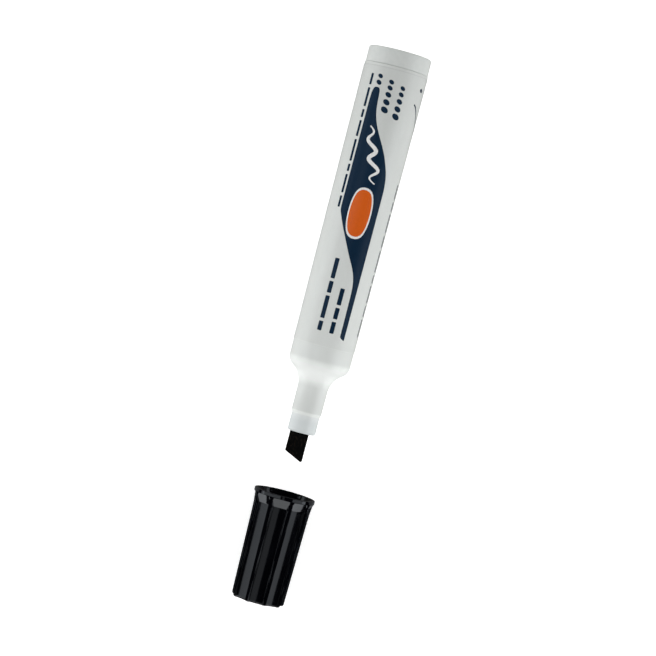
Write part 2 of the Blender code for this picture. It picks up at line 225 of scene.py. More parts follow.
def unevenColour(tree, shader, noise, look):
    # the base colour wanders between the look's two shades
    ramp = addNode(tree, "ShaderNodeValToRGB")
    ramp.color_ramp.elements[0].color = (*look["dark"], 1)
    ramp.color_ramp.elements[1].color = (*look["light"], 1)
    fromLow, fromHigh = look.get("shadeRange", (0.3, 0.7))
    tree.links.new(mapped(tree, noise, 0, 1, fromLow, fromHigh), ramp.inputs["Fac"])
    tree.links.new(ramp.outputs["Color"], shader.inputs["Base Color"])


def unevenRoughness(tree, shader, noise, look):
    low, high = look["roughness"]
    fromLow, fromHigh = look.get("roughRange", (0.3, 0.7))
    tree.links.new(mapped(tree, noise, low, high, fromLow, fromHigh), shader.inputs["Roughness"])


# stops are (at, brightness) and paint light and shade along the axis: painted shade from the ink core
# behind the wall, rising from the rear to the front; painted light over the thin shoulder; and a painted
# highlight line on the ring from 101.15 to 101.65.
# "filmStops" carry the same painted shade, with a darker line at the film's rear edge and a lighter one at
# its front edge.
# "noseStops" are (at, colour): a lighter band past the ring, then a darker nose.
# The glow is painted light, an emission that stands for the light through the thin shoulder.
white = {
    "tint": (0.965, 1.0, 0.972),
    "stops": [(0, 0.68), (50, 0.735), (80, 0.80), (86.0, 0.80), (87.0, 0.93), (91, 0.97), (93.8, 0.83),
              (96.5, 0.80), (101, 0.79), (101.15, 0.98), (101.65, 0.98)],
    "noseStops": [(101.78, (0.825, 0.86, 0.855)), (103.6, (0.73, 0.775, 0.775)),
                  (107, (0.73, 0.775, 0.775))],
    "filmStops": [(5.35, 0.60), (5.50, 0.60), (5.56, 0.685), (50, 0.735), (80, 0.80), (82.0, 0.80),
                  (82.12, 0.87), (82.30, 0.87)],
    "paintedGlow": [(0, 0.0), (86.2, 0.0), (87.6, 0.07), (89.5, 0.17), (91.3, 0.13), (94.0, 0.0), (107, 0.0)],
    "barrelRoughness": (0.30, 0.38), "filmRoughness": (0.26, 0.32), "mottle": (0.985, 1.01),
    "mottleStretch": (1, 0.35, 1), "mottleScale": 0.55, "grainScale": 6, "bump": (0.10, 0.02),
}


def whitePlasticMaterial(name, stops, ending, roughness):
    material, tree, shader = newMaterial(name)
    tint = white["tint"]
    stops = [(at, [value * part for part in tint]) for at, value in stops] + ending
    mottle = objectNoise(tree, white["mottleStretch"], white["mottleScale"], detail=3)
    # the base colour is the painted light and shade along the axis, times a random mottle
    colour = scaledColour(tree, alongAxis(tree, stops), mapped(tree, mottle, *white["mottle"]))
    tree.links.new(colour, shader.inputs["Base Color"])
    # painted light: an emission over the shoulder that stands for the light through its thin wall
    paintedGlow = [(at, (value, value, value)) for at, value in white["paintedGlow"]]
    tree.links.new(alongAxis(tree, paintedGlow), shader.inputs["Emission Color"])
    shader.inputs["Emission Strength"].default_value = 1
    grain = objectNoise(tree, even, white["grainScale"], detail=2)
    tree.links.new(mapped(tree, grain, *roughness), shader.inputs["Roughness"])
    bumped(tree, shader, grain, *white["bump"])
    return material


# in every look, "bump" is (strength, depth in mm)
plugLook = {
    "dark": (0.635, 0.665, 0.645), "light": (0.675, 0.70, 0.68), "roughness": (0.38, 0.46),
    "mottleScale": 0.8, "grainScale": 9, "bump": (0.18, 0.02),
}


def plugMaterial():
    material, tree, shader = newMaterial("plugPolypropylene")
    unevenColour(tree, shader, objectNoise(tree, even, plugLook["mottleScale"], detail=3), plugLook)
    grain = objectNoise(tree, even, plugLook["grainScale"], detail=2)
    unevenRoughness(tree, shader, grain, plugLook)
    bumped(tree, shader, grain, *plugLook["bump"])
    return material


# each ink is (colour, share of it in the darker spots, sheen)
inkLook = {
    "navy": ((0.0045, 0.0215, 0.050), 0.90, 0.14), "orange": ((0.74, 0.118, 0.004), 0.94, 0.30),
    "pale": ((0.86, 0.87, 0.86), 0.97, 0.40), "grey": ((0.022, 0.036, 0.070), 0.88, 0.20),
    "roughness": (0.26, 0.34), "unevenStretch": (1, 0.6, 1), "unevenScale": 1.6, "grainScale": 11,
    "bump": (0.06, 0.01),
}


def inkMaterial(name, colour, darker, sheen):
    material, tree, shader = newMaterial(name)
    shader.inputs["Specular IOR Level"].default_value = sheen
    shades = {"dark": [part * darker for part in colour], "light": colour}
    uneven = objectNoise(tree, inkLook["unevenStretch"], inkLook["unevenScale"], detail=4)
    unevenColour(tree, shader, uneven, shades)
    grain = objectNoise(tree, even, inkLook["grainScale"], detail=2)
    unevenRoughness(tree, shader, grain, inkLook)
    bumped(tree, shader, grain, *inkLook["bump"])
    return material


capLook = {
    "dark": (0.0006, 0.0007, 0.0014), "light": (0.0016, 0.0018, 0.0030),
    "roughness": (0.045, 0.10), "roughRange": (0.35, 0.75), "cloudStretch": (1, 0.3, 1), "cloudScale": 0.35,
    "scuffStretch": (1, 0.06, 1), "scuffScale": 3.2, "waveStretch": (1, 0.25, 1), "waveScale": 0.5,
    "bump": (0.05, 0.03),
}


def capMaterial():
    material, tree, shader = newMaterial("blackPolystyrene")
    cloud = objectNoise(tree, capLook["cloudStretch"], capLook["cloudScale"], detail=3)
    unevenColour(tree, shader, cloud, capLook)
    scuffs = objectNoise(tree, capLook["scuffStretch"], capLook["scuffScale"], detail=5, roughness=0.6)
    unevenRoughness(tree, shader, scuffs, capLook)
    waves = objectNoise(tree, capLook["waveStretch"], capLook["waveScale"], detail=2)
    bumped(tree, shader, waves, *capLook["bump"])
    return material


feltLook = {
    "dark": (0.0008, 0.0006, 0.0005), "light": (0.034, 0.020, 0.012), "shadeRange": (0.54, 0.80),
    "roughness": (0.62, 0.90), "sheen": 0.12, "fibreStretch": (1, 0.30, 1), "fibreScale": 2.6,
    "bump": (0.55, 0.12),
}


def feltMaterial():
    material, tree, shader = newMaterial("nibFelt")
    shader.inputs["Specular IOR Level"].default_value = feltLook["sheen"]
    fibres = objectNoise(tree, feltLook["fibreStretch"], feltLook["fibreScale"], detail=6, roughness=0.7)
    unevenColour(tree, shader, fibres, feltLook)
    unevenRoughness(tree, shader, fibres, feltLook)
    bumped(tree, shader, fibres, *feltLook["bump"])
    return material


linerLook = {
    "dark": (0.46, 0.48, 0.46), "light": (0.56, 0.57, 0.55), "roughness": (0.40, 0.50),
    "cloudScale": 0.6, "grainScale": 8, "bump": (0.12, 0.02),
}


def linerMaterial():
    material, tree, shader = newMaterial("naturalPolyethylene")
    unevenColour(tree, shader, objectNoise(tree, even, linerLook["cloudScale"], detail=3), linerLook)
    grain = objectNoise(tree, even, linerLook["grainScale"], detail=2)
    unevenRoughness(tree, shader, grain, linerLook)
    bumped(tree, shader, grain, *linerLook["bump"])
    return material


fibreLook = {
    "dark": (0.004, 0.004, 0.006), "light": (0.035, 0.035, 0.042), "roughness": (0.8, 0.95),
    "fibreStretch": (1, 0.05, 1), "fibreScale": 4, "bump": (0.5, 0.15),
}


def fibreMaterial():
    material, tree, shader = newMaterial("inkedFibre")
    fibres = objectNoise(tree, fibreLook["fibreStretch"], fibreLook["fibreScale"], detail=5, roughness=0.6)
    unevenColour(tree, shader, fibres, fibreLook)
    unevenRoughness(tree, shader, fibres, fibreLook)
    bumped(tree, shader, fibres, *fibreLook["bump"])
    return material


wrapLook = {
    "dark": (0.10, 0.11, 0.12), "light": (0.20, 0.21, 0.22), "roughness": (0.12, 0.28),
    "rippleStretch": (1, 0.15, 1), "rippleScale": 0.9, "bump": (0.3, 0.1),
}


def wrapMaterial():
    material, tree, shader = newMaterial("clearWrap")
    ripple = objectNoise(tree, wrapLook["rippleStretch"], wrapLook["rippleScale"], detail=3)
    unevenColour(tree, shader, ripple, wrapLook)
    unevenRoughness(tree, shader, ripple, wrapLook)
    bumped(tree, shader, ripple, *wrapLook["bump"])
    return material


# barrel

barrel = {
    "rearR": 8.84, "frontR": 8.48, "startAt": 4.60, "rimRound": 0.10, "shoulderAt": 86.40,
    "shoulderR": 3.46, "filletR": 6.33, "neckR": 4.22, "neckEndR": 4.16, "neckEndAt": 101.35,
    "stepSoft": 0.03, "stepRuns": (-0.18, -0.08, 0.20, 0.32), "noseR": 3.89, "beadR": 3.93,
    "beadAt": 105.25, "beadRun": 0.50, "noseEndAt": 106.80, "noseRound": 0.60,
    "slotBevel": [(0, 0.08), (0.02, 0.03), (0.10, 0)], "slotRound": 0.50, "noseWallAt": 102.60,
    "neckBoreR": 3.50, "neckBoreAt": 91.40, "funnelR": 6.25, "funnelAt": 85.40,
    "boreFrontR": 7.45, "boreEndAt": 84.40, "boreRearR": 7.90, "boreBevel": 0.15,
    "ribs": 6, "ribTurn": 90, "ribHeight": 0.45, "ribWidth": 0.80, "ribFrontR": 7.46, "ribFrontAt": 81.80,
    "ribRearR": 7.84, "ribRearAt": 19.90, "ribRun": 0.10, "steps": 180,
}
nib = {
    "width": 5.22, "thick": 3.60, "edgeThick": 1.90, "wedge": 4.60, "offset": -0.42,
    "tailAt": 74.40, "tipAt": 114.90, "slant": 25.0, "corner": 0.45, "round": 0.30, "gap": 0.12,
    "roundSteps": 6, "soften": 0.10, "softenAbove": 24,
}


def barrelR(at):
    share = (at - barrel["startAt"]) / (barrel["shoulderAt"] - barrel["startAt"])
    return barrel["rearR"] + (barrel["frontR"] - barrel["rearR"]) * share


def shoulderOutline():
    centreR = barrel["frontR"] - barrel["shoulderR"]
    filletR = barrel["neckR"] + barrel["filletR"]
    rise = filletR - centreR
    run = math.sqrt((barrel["shoulderR"] + barrel["filletR"]) ** 2 - rise ** 2)
    turn = math.degrees(math.atan2(run, rise))
    convex = arcPoints(centreR, barrel["shoulderAt"], barrel["shoulderR"], 0, turn, 20)
    concave = arcPoints(filletR, barrel["shoulderAt"] + run, barrel["filletR"], 180 + turn, 180, 20)
    return convex + concave[1:]


def barrelSkin():
    start = barrel["startAt"]
    rim = barrel["rimRound"]
    edge = arcPoints(barrelR(start) - rim, start + rim, rim, -90, 0, 5)
    neckR = barrel["neckEndR"]
    noseR = barrel["noseR"]
    soft = barrel["stepSoft"]
    ats = [barrel["neckEndAt"] + run for run in barrel["stepRuns"]]
    step = [(neckR, ats[0]), (neckR - soft, ats[1]), (noseR + soft, ats[2]), (noseR, ats[3])]
    bead = [(noseR + 0.01, barrel["beadAt"] - barrel["beadRun"]), (barrel["beadR"], barrel["beadAt"])]
    roundR = barrel["noseRound"]
    nose = arcPoints(barrel["beadR"] - roundR, barrel["noseEndAt"] - roundR, roundR, 0, 90, 8)
    return edge + shoulderOutline() + step + bead + nose


def sectionR(turn, halfWidth, halfThick, corner, offset):
    # distance from the axis to the side of a rounded bar section that is offset sideways, by halving
    low = 0.0
    high = 8.0  # beyond any slot
    angle = math.radians(turn)
    for i in range(26):
        middle = (low + high) / 2
        dx = abs(middle * math.sin(angle) - offset) - halfWidth + corner
        dy = abs(middle * math.cos(angle)) - halfThick + corner
        outside = math.hypot(max(dx, 0), max(dy, 0)) + min(max(dx, dy), 0) - corner
        if outside > 0:
            high = middle
        else:
            low = middle
    return low


def slotRing(at, grow):
    halfWidth = nib["width"] / 2 + nib["gap"] + grow
    halfThick = nib["thick"] / 2 + nib["gap"] + grow
    turns = [360 * k / barrel["steps"] for k in range(barrel["steps"])]
    corner = barrel["slotRound"] + grow
    return [onMarker(sectionR(t, halfWidth, halfThick, corner, nib["offset"]), at, t) for t in turns]


def boreRing(radius, at, ribShare):
    points = []
    for k in range(barrel["steps"]):
        turn = 360 * k / barrel["steps"]
        spacing = 360 / barrel["ribs"]
        off = abs((turn - barrel["ribTurn"] + spacing / 2) % spacing - spacing / 2)
        away = radius * math.radians(off)
        raised = barrel["ribHeight"] * ribShare if away < barrel["ribWidth"] / 2 else 0
        points.append(onMarker(radius - raised, at, turn))
    return points


def makeBarrel(material):
    rings = []
    for radius, at in barrelSkin():
        rings.append([onMarker(radius, at, 360 * k / barrel["steps"]) for k in range(barrel["steps"])])
    for depth, grow in barrel["slotBevel"]:
        rings.append(slotRing(barrel["noseEndAt"] - depth, grow))
    rings.append(slotRing(barrel["noseWallAt"], 0))
    frontR = barrel["boreFrontR"]
    rearR = barrel["boreRearR"]
    ribFront = barrel["ribFrontAt"]
    ribRear = barrel["ribRearAt"]
    bore = [
        (barrel["neckBoreR"], barrel["noseWallAt"], 0), (barrel["neckBoreR"], barrel["neckBoreAt"], 0),
        (barrel["funnelR"], barrel["funnelAt"], 0), (frontR, barrel["boreEndAt"], 0),
        (frontR, ribFront + barrel["ribRun"], 0), (barrel["ribFrontR"], ribFront, 1),
        (barrel["ribRearR"], ribRear, 1), (barrel["ribRearR"], ribRear - barrel["ribRun"], 0),
        (rearR, barrel["startAt"] + barrel["boreBevel"], 0),
        (rearR + barrel["boreBevel"], barrel["startAt"], 0)]
    rings += [boreRing(radius, at, ribShare) for radius, at, ribShare in bore]
    return addPiece("barrelShell", ringShape(rings, True), material, "marker", "barrel")


film = {
    "startAt": 5.35, "endAt": 82.30, "gap": 0.02, "thick": 0.05, "edgeDrop": 0.015, "edgeRun": 0.03,
    "steps": 180,
}


def makeFilm(material):
    start = film["startAt"]
    end = film["endAt"]
    inner = film["gap"]
    outer = film["gap"] + film["thick"]
    edge = outer - film["edgeDrop"]
    outline = [
        (barrelR(start) + inner, start),
        (barrelR(start) + edge, start),
        (barrelR(start) + outer, start + film["edgeRun"]),
        (barrelR(end) + outer, end - film["edgeRun"]),
        (barrelR(end) + edge, end),
        (barrelR(end) + inner, end),
    ]
    shape = turnedShape(outline, film["steps"])
    return addPiece("printFilm", shape, material, "marker", "print_film")


plug = {
    "headR": 8.72, "corner": 0.55, "seamAt": 4.545, "seamRound": 0.07,
    "skirtR": 7.75, "skirtEndAt": 10.60, "skirtBevel": 0.40, "wall": 1.15, "cupBevel": 0.20,
    "ribStartAt": 0.60, "ribEndAt": 13.40, "ribThick": 1.0, "ribOverlap": 0.20,
    "gateR": 1.1, "gateDepth": 0.12, "gateBevel": 0.25, "steps": 180,
}


def ribPlate(shape, halfSpan, halfThick, startAt, endAt, turned):
    # one of the two crossed plates that press on the reservoir
    corners = []
    for side in (-halfSpan, halfSpan):
        for up in (-halfThick, halfThick):
            for at in (startAt, endAt):
                local = Vector((up, side, at)) if turned else Vector((side, up, at))
                corners.append(shape.verts.new(fromLocal(local)))
    bmesh.ops.convex_hull(shape, input=corners)


def makePlug(material):
    corner = plug["corner"]
    seam = plug["seamAt"]
    skirtR = plug["skirtR"]
    skirtEnd = plug["skirtEndAt"]
    wall = plug["wall"]
    boreR = skirtR - wall
    gateDepth = plug["gateDepth"]
    gate = [(0, gateDepth), (plug["gateR"] - plug["gateBevel"], gateDepth), (plug["gateR"], 0)]
    head = arcPoints(plug["headR"] - corner, corner, corner, -90, 0, 10)
    seamR = plug["seamRound"]
    seamEdge = arcPoints(plug["headR"] - seamR, seam - seamR, seamR, 0, 90, 4)
    bevel = plug["skirtBevel"]
    skirt = [(skirtR, seam), (skirtR, skirtEnd - bevel), (skirtR - bevel, skirtEnd), (boreR, skirtEnd)]
    cup = [(boreR, wall + plug["cupBevel"]), (boreR - plug["cupBevel"], wall), (0, wall)]
    shape = turnedShape(gate + head + seamEdge + skirt + cup, plug["steps"])
    halfSpan = boreR + plug["ribOverlap"]
    for turned in (False, True):
        ribPlate(shape, halfSpan, plug["ribThick"] / 2, plug["ribStartAt"], plug["ribEndAt"], turned)
    return addPiece("rearPlug", shape, material, "marker", "rear_plug")


def cutShape(shape, point, normal):
    geometry = shape.verts[:] + shape.edges[:] + shape.faces[:]
    cut = bmesh.ops.bisect_plane(
        shape, geom=geometry, plane_co=point, plane_no=normal, clear_outer=True, dist=1e-5)
    edges = [item for item in cut["geom_cut"] if isinstance(item, bmesh.types.BMEdge)]
    if edges:
        bmesh.ops.contextual_create(shape, geom=edges)


def barRing(shape, at):
    points = []
    halfWidth = nib["width"] / 2
    halfThick = nib["thick"] / 2
    for quarter, (sx, sy) in enumerate(((1, 1), (-1, 1), (-1, -1), (1, -1))):
        for i in range(nib["roundSteps"] + 1):
            angle = math.radians(90 * quarter + 90 * i / nib["roundSteps"])
            x = sx * (halfWidth - nib["round"]) + nib["round"] * math.cos(angle)
            y = sy * (halfThick - nib["round"]) + nib["round"] * math.sin(angle)
            points.append(shape.verts.new((x + nib["offset"], y, at)))
    return points


def makeNib(material):
    # local coordinates in mm while it is cut, then placed on the axis
    shape = bmesh.new()
    tail = barRing(shape, nib["tailAt"])
    tip = barRing(shape, nib["tipAt"])
    bridge(shape, tail, tip)
    shape.faces.new(tail[::-1])
    shape.faces.new(tip)
    slant = math.radians(nib["slant"])
    corner = nib["corner"]
    tipPoint = Vector((nib["offset"] + nib["width"] / 2, 0, nib["tipAt"]))
    cutShape(shape, tipPoint, Vector((-math.sin(slant), 0, math.cos(slant))))
    slanted = nib["slant"] + 90
    rounds = ((tipPoint.x - corner, 0, slanted), (tipPoint.x - nib["width"] + corner, slanted, 180))
    for cornerX, start, end in rounds:
        lineZ = tipPoint.z - (tipPoint.x - cornerX) * math.tan(slant)
        centre = Vector((cornerX, 0, lineZ - corner / math.cos(slant)))
        for step in range(1, nib["roundSteps"]):
            angle = math.radians(start + (end - start) * step / nib["roundSteps"])
            normal = Vector((math.cos(angle), 0, math.sin(angle)))
            cutShape(shape, centre + corner * normal, normal)
    narrowing = (nib["thick"] - nib["edgeThick"]) / 2
    for side in (-1, 1):
        edge = tipPoint + Vector((0, side * nib["edgeThick"] / 2, 0))
        cutShape(shape, edge, Vector((0, side * nib["wedge"], narrowing)).normalized())
    bmesh.ops.remove_doubles(shape, verts=shape.verts[:], dist=1e-4)
    for vert in shape.verts:
        vert.co = fromLocal(vert.co)
    piece = addPiece("nibFelt", shape, material, "marker", "nib", 40)
    soften = piece.modifiers.new("soften", "BEVEL")
    soften.width = nib["soften"] * mm
    soften.segments = 3
    soften.limit_method = "ANGLE"
    soften.angle_limit = math.radians(nib["softenAbove"])
    return piece


# cap

cap = {
    "skin": [
        (0.0, 8.36), (0.03, 8.43), (0.08, 8.47), (0.14, 8.48), (0.17, 8.48), (0.89, 8.48), (0.92, 8.48),
        (0.97, 8.47), (1.01, 8.44), (1.05, 8.36), (1.5, 8.25), (2.0, 8.18), (3.0, 8.05), (4.0, 7.95),
        (6.6, 7.86), (10.7, 7.77), (14.7, 7.70), (18.7, 7.61), (22.7, 7.54), (26.7, 7.46), (29.7, 7.41)],
    "flangeEndAt": 1.04, "flangeRows": (1.03, 1.05, 1.08), "fineRows": (1.16, 4.6, 0.09), "coarseRow": 0.75,
    "length": 30.30, "endRound": 0.60, "ledgeAt": 1.01, "ledgeRun": 0.06, "flutes": 9, "firstTurn": -2.6,
    "floorR": 7.14, "floorWidth": 3.74, "wallSlope": 0.90, "hollow": 0.021, "taper": 0.0195,
    "runoutEndAt": 3.45, "runoutSlope": 0.35, "runoutRound": 0.06, "wallRound": 0.10, "ridgeRound": 0.08,
    "endFlatR": 4.2, "gateR": 1.30, "gateFloorR": 1.05, "gateDepth": 0.10,
    "mouthR": 7.72, "mouthBevel": (0.12, 0.20), "throatR": 7.62, "throatAt": 0.90,
    "boreTopR": 6.20, "boreTopAt": 3.40, "boreEndR": 5.70, "endWall": 1.30, "endBevel": 0.20,
    "ribs": 6, "ribWidth": 0.80, "ribInnerR": 5.10, "ribStartAt": 14.2, "ribEndAt": 27.4, "ribRun": 0.05,
    "steps": 720,
}


def fluteR(turn, at):
    # the radius at which a ray from the axis meets a flute's hollow floor or its splayed wall
    spacing = 360 / cap["flutes"]
    off = math.radians(abs((turn - cap["firstTurn"] + spacing / 2) % spacing - spacing / 2))
    straight = cap["floorR"] - cap["taper"] * (at - cap["runoutEndAt"])
    runout = cap["floorR"] + cap["runoutSlope"] * (cap["runoutEndAt"] - at)
    floor = softMax(straight, runout, cap["runoutRound"])
    half = cap["floorWidth"] / 2
    rise = cap["hollow"] * (floor * math.tan(off)) ** 2
    floorR = (floor + rise) / math.cos(off)
    cornerR = straight + cap["hollow"] * half ** 2
    slope = cap["wallSlope"]
    wallR = (cornerR * slope - half) / (slope * math.cos(off) - math.sin(off))
    return softMax(floorR, wallR, cap["wallRound"])


def capSkinR(turn, at):
    plain = lerpTable(cap["skin"], at)
    share = min(max((at - cap["ledgeAt"]) / cap["ledgeRun"], 0), 1)
    if share == 0:
        return plain
    fluted = softMin(plain, fluteR(turn, at), cap["ridgeRound"])
    return plain + (fluted - plain) * share


def capRows():
    # close rows over the flange and the run-outs, then wider ones down to the rounded end
    rows = [at for at, radius in cap["skin"] if at < cap["flangeEndAt"]] + list(cap["flangeRows"])
    at, fineEnd, fineRow = cap["fineRows"]
    last = cap["length"] - cap["endRound"]
    while at < fineEnd:
        rows.append(at)
        at += fineRow
    while at < last:
        rows.append(at)
        at += cap["coarseRow"]
    return sorted(set(round(row, 4) for row in rows)) + [last]


def capBoreR(turn, at):
    plain = lerpTable([(cap["boreTopAt"], cap["boreTopR"]), (cap["length"], cap["boreEndR"])], at)
    spacing = 360 / cap["ribs"]
    off = (turn % spacing) - spacing / 2
    inRib = abs(plain * math.radians(off)) < cap["ribWidth"] / 2
    return cap["ribInnerR"] if inRib and cap["ribStartAt"] < at < cap["ribEndAt"] else plain


def makeCapShell(material):
    # the outside and the bore are built as two skins and joined round the rim
    turns = [360 * k / cap["steps"] for k in range(cap["steps"])]
    rings = []
    for at in capRows():
        rings.append([onMarker(capSkinR(t, at), rimAt + at, t) for t in turns])
    last = cap["length"] - cap["endRound"]
    for step in range(1, 9):
        angle = math.radians(90 * step / 8)
        drop = cap["endRound"] * (1 - math.cos(angle))
        at = last + cap["endRound"] * math.sin(angle)
        rings.append([onMarker(capSkinR(t, last) - drop, rimAt + at, t) for t in turns])
    length = cap["length"]
    gateFloor = length - cap["gateDepth"]
    for radius, at in ((cap["endFlatR"], length), (cap["gateR"], length), (cap["gateFloorR"], gateFloor)):
        rings.append([onMarker(radius, rimAt + at, t) for t in turns])
    rings.append([onMarker(0, rimAt + gateFloor)])
    outside = len(rings)
    floorAt = length - cap["endWall"]
    endBevel = cap["endBevel"]
    rings.append([onMarker(0, rimAt + floorAt)])
    rings.append([onMarker(cap["boreEndR"] - endBevel, rimAt + floorAt, t) for t in turns])
    boreAts = [floorAt - endBevel]
    for at in (cap["ribEndAt"], cap["ribStartAt"]):
        boreAts += [at + cap["ribRun"], at - cap["ribRun"]]
    for at in boreAts + [cap["boreTopAt"]]:
        rings.append([onMarker(capBoreR(t, at), rimAt + at, t) for t in turns])
    mouthR = cap["mouthR"]
    bevelR, bevelAt = cap["mouthBevel"]
    for radius, at in ((cap["throatR"], cap["throatAt"]), (mouthR, bevelAt), (mouthR + bevelR, 0.0)):
        rings.append([onMarker(radius, rimAt + at, t) for t in turns])
    shape = ringShape(rings[:outside], False)
    inner = ringShape(rings[outside:], False)
    innerMesh = bpy.data.meshes.new("capBore")
    inner.to_mesh(innerMesh)
    inner.free()
    shape.from_mesh(innerMesh)
    bpy.data.meshes.remove(innerMesh)
    shape.verts.ensure_lookup_table()
    count = cap["steps"]
    outerRim = [shape.verts[k] for k in range(count)]
    innerRim = [shape.verts[len(shape.verts) - count + k] for k in range(count)]
    bridge(shape, outerRim, innerRim)
    return addPiece("capShell", shape, material, "cap", "cap_shell", 24)


liner = {
    "mouthAt": 13.60, "outerR": 5.00, "boreR": 4.08, "mouthR": 4.40, "mouthRun": 0.90, "lipRound": 0.30,
    "lipRun": 0.50, "baseAt": 28.90, "base": 1.10, "floorBevel": 0.30, "flangeR": 5.55,
    "flangeAts": (0.90, 0.72, 0.62), "flangeBevel": 0.10, "steps": 120,
}


def makeCapLiner(material):
    mouth = rimAt + liner["mouthAt"]
    base = rimAt + liner["baseAt"]
    floor = base - liner["base"]
    lipR = liner["lipRound"]
    lip = arcPoints((liner["mouthR"] + liner["outerR"]) / 2, mouth + lipR, lipR, 180, 360, 8)
    neckAt, slopeAt, flangeAt = [base - run for run in liner["flangeAts"]]
    bevel = liner["flangeBevel"]
    outline = [
        (0, floor),
        (liner["boreR"] - liner["floorBevel"], floor),
        (liner["boreR"], floor - liner["floorBevel"]),
        (liner["boreR"], mouth + liner["mouthRun"]),
    ] + lip + [
        (liner["outerR"], mouth + liner["lipRun"]),
        (liner["outerR"], neckAt),
        (liner["flangeR"] - bevel, slopeAt),
        (liner["flangeR"], flangeAt),
        (liner["flangeR"], base - bevel),
        (liner["flangeR"] - bevel, base),
        (0, base),
    ]
    shape = turnedShape(outline, liner["steps"])
    return addPiece("capLiner", shape, material, "cap", "cap_liner")


# print: thin inks wrapped round the film

ink = {
    "perDegree": 0.152,  # mm round the film for one degree of turn
    "thick": 0.010, "cutEvery": 2.0, "dotWiden": 1.12, "dotLean": 0.32, "barRound": 0.18,
}
# each layer's height in mm above the barrel
layers = {"base": 0.074, "middle": 0.088, "top": 0.102}


def wrapInk(name, loops, layer, material):
    # loops are closed lists of (turn, at); each is filled flat, cut into strips and wrapped
    shape = bmesh.new()
    for loop in loops:
        verts = [shape.verts.new((turn * ink["perDegree"], at, 0)) for turn, at in loop]
        shape.faces.new(verts)
    shape.normal_update()
    bmesh.ops.triangulate(shape, faces=shape.faces[:], ngon_method="EAR_CLIP")
    turnsUsed = [turn for loop in loops for turn, at in loop]
    turn = math.ceil(min(turnsUsed))
    while turn < max(turnsUsed):
        geometry = shape.verts[:] + shape.edges[:] + shape.faces[:]
        bmesh.ops.bisect_plane(
            shape, geom=geometry, plane_co=(turn * ink["perDegree"], 0, 0), plane_no=(1, 0, 0), dist=1e-6)
        turn += ink["cutEvery"]
    for vert in shape.verts:
        turn = vert.co.x / ink["perDegree"]
        at = vert.co.y
        vert.co = onMarker(barrelR(at) + layers[layer], at, turn)
    shape.normal_update()
    inward = []
    for face in shape.faces:
        middle = face.calc_center_median()
        away = Vector((middle.x - axisX, 0, middle.z - axisZ))
        if face.normal.dot(away) < 0:
            inward.append(face)
    bmesh.ops.reverse_faces(shape, faces=inward)
    piece = addPiece(name, shape, material, "marker", None, 60, False)
    solid = piece.modifiers.new("thickness", "SOLIDIFY")
    solid.thickness = ink["thick"] * mm
    solid.offset = 1
    return piece


def smoothLoop(points, turns=2):
    # corner cutting rounds a closed outline
    for i in range(turns):
        cut = []
        for (x0, y0), (x1, y1) in zip(points, points[1:] + points[:1]):
            cut.append((x0 * 0.75 + x1 * 0.25, y0 * 0.75 + y1 * 0.25))
            cut.append((x0 * 0.25 + x1 * 0.75, y0 * 0.25 + y1 * 0.75))
        points = cut
    return points


def leaningDot(turn, at, diameter, points=28):
    # a dot drawn out sideways and leaning, like a slanted full stop
    loop = []
    for k in range(points):
        angle = 2 * math.pi * k / points
        across = ink["dotWiden"] * math.cos(angle) + ink["dotLean"] * math.sin(angle)
        along = diameter / 2 * math.sin(angle)
        loop.append((turn + diameter / 2 * across / ink["perDegree"], at + along))
    return loop


def bar(turnLow, turnHigh, atLow, atHigh, corner):
    loop = []
    across = corner / ink["perDegree"]
    centres = ((turnHigh - across, atHigh - corner, 0), (turnLow + across, atHigh - corner, 90),
               (turnLow + across, atLow + corner, 180), (turnHigh - across, atLow + corner, 270))
    for turn, at, start in centres:
        for i in range(5):
            angle = math.radians(start + 22.5 * i)
            loop.append((turn + across * math.cos(angle), at + corner * math.sin(angle)))
    return loop


def barRow(turnLow, turnHigh, atLow, lengths, gap):
    # a line of plain bars where the pattern has a line of writing
    row = []
    at = atLow
    for length in lengths:
        row.append(bar(turnLow, turnHigh, at, at + length, ink["barRound"]))
        at += length + gap
    return row


def ribbon(points, widths):
    # a stroke along points with a width in mm at each
    left = []
    right = []
    for i, (turn, at) in enumerate(points):
        before = points[max(i - 1, 0)]
        after = points[min(i + 1, len(points) - 1)]
        dx = (after[0] - before[0]) * ink["perDegree"]
        dy = after[1] - before[1]
        size = math.hypot(dx, dy)
        half = widths[i] / 2
        left.append((turn - dy / size * half / ink["perDegree"], at + dx / size * half))
        right.append((turn + dy / size * half / ink["perDegree"], at - dx / size * half))
    return left + right[::-1]


